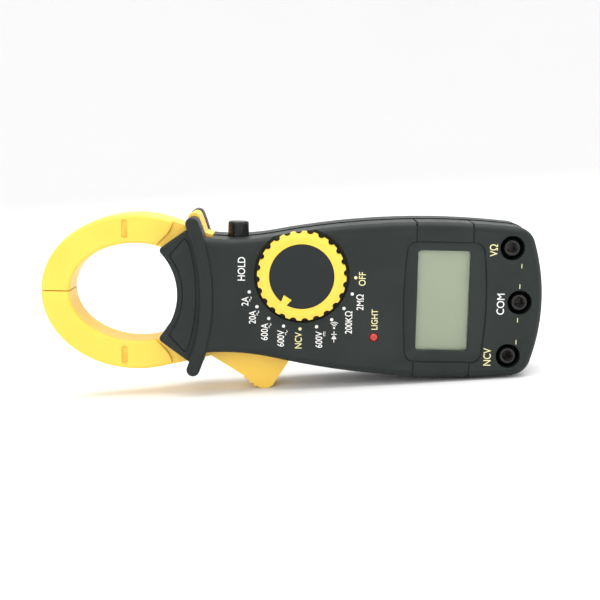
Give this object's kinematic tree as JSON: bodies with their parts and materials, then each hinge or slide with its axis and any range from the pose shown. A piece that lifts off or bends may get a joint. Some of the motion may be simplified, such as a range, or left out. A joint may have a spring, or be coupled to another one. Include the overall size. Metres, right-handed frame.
{
  "type": "clamp meter",
  "caption": "Pocket clamp meter with a hinged jaw ring, trigger, rotary dial, display and jack sockets.",
  "frame": {"origin": "centre of the bounding box's bottom, under the trigger's tip plane, with the meter on its long trigger side", "axes": "+X along the body from the jaws to the jacks, +Y from the front face to the back, +Z from the trigger side to the hold button side"},
  "size_m": [0.1948, 0.0368, 0.0692],
  "materials": {
    "case_grey": "matte moulded",
    "jaw_yellow": "satin moulded",
    "dial_yellow": "satin moulded",
    "cap_black": "matte",
    "button_black": "gloss",
    "window_clear": "clear",
    "lcd_grey": "satin",
    "inner_plastic": "matte",
    "strip_rubber": "matte",
    "board_green": "solder mask",
    "chip_black": "matte",
    "part_blue": "satin",
    "led_red": "clear tinted",
    "core_steel": "laminated",
    "coil_copper": "enamelled wire",
    "steel": "satin",
    "socket_brass": "plated",
    "cell_wrap": "printed wrap"
  },
  "bodies": {
    "case": {"front_case": "case_grey", "rear_case": "case_grey", "display_window": "window_clear", "lcd_panel": "lcd_grey", "lcd_holder": "inner_plastic", "zebra_strips": "strip_rubber", "main_board": "board_green", "jack_board": "board_green", "jack_post_v": "case_grey", "jack_post_com": "case_grey", "jack_post_ncv": "case_grey", "jack_socket_v": "socket_brass", "jack_socket_com": "socket_brass", "jack_socket_ncv": "socket_brass", "status_led": "led_red", "main_chip": "chip_black", "small_chips": "chip_black", "capacitors": "part_blue", "resistors": "chip_black", "trimmer": "part_blue", "fuse_element": "part_blue", "buzzer": "chip_black", "hold_switch": "chip_black", "hold_board": "board_green", "cell_upper": "cell_wrap", "cell_lower": "cell_wrap", "battery_plates": "steel", "battery_springs": "steel", "case_screws": "steel", "fixed_jaw_front": "jaw_yellow", "fixed_jaw_rear": "jaw_yellow", "fixed_core": "core_steel", "fixed_coil": "coil_copper", "pivot_pin": "steel", "return_spring": "steel"},
    "moving_jaw": {"moving_jaw_front": "jaw_yellow", "moving_jaw_rear": "jaw_yellow", "moving_core": "core_steel", "moving_coil": "coil_copper"},
    "dial": {"dial_ring": "dial_yellow", "dial_cap": "cap_black", "dial_rotor": "inner_plastic", "rotor_brushes": "socket_brass", "detent_balls": "steel", "detent_springs": "steel"},
    "hold_button": {"hold_button": "button_black"},
    "battery_door": {"battery_door": "case_grey", "door_screw": "steel"}
  },
  "joints": [
    {"name": "jaw_open", "type": "hinge", "parent": "case", "child": "moving_jaw", "pos_m": [-0.024, 0.0022, 0.0234], "axis": [0, -1, 0], "range_deg": [0, 18], "stiffness_Nm_per_rad": 0.4, "springref_deg": -28.65, "deforming": ["return_spring"]},
    {"name": "dial_turn", "type": "hinge", "parent": "case", "child": "dial", "pos_m": [0.0044, -0.0122, 0.0463], "axis": [0, -1, 0], "range_deg": [-41.8, 122.5]},
    {"name": "hold_press", "type": "slide", "parent": "case", "child": "hold_button", "axis": [0, 0, -1], "range_m": [0, 0.0012], "stiffness_N_per_m": 600, "springref_m": -0.001},
    {"name": "door_open", "type": "hinge", "parent": "case", "child": "battery_door", "pos_m": [0.02, 0.0184, 0.0374], "axis": [0, 0, 1], "range_deg": [0, 45]}
  ]
}
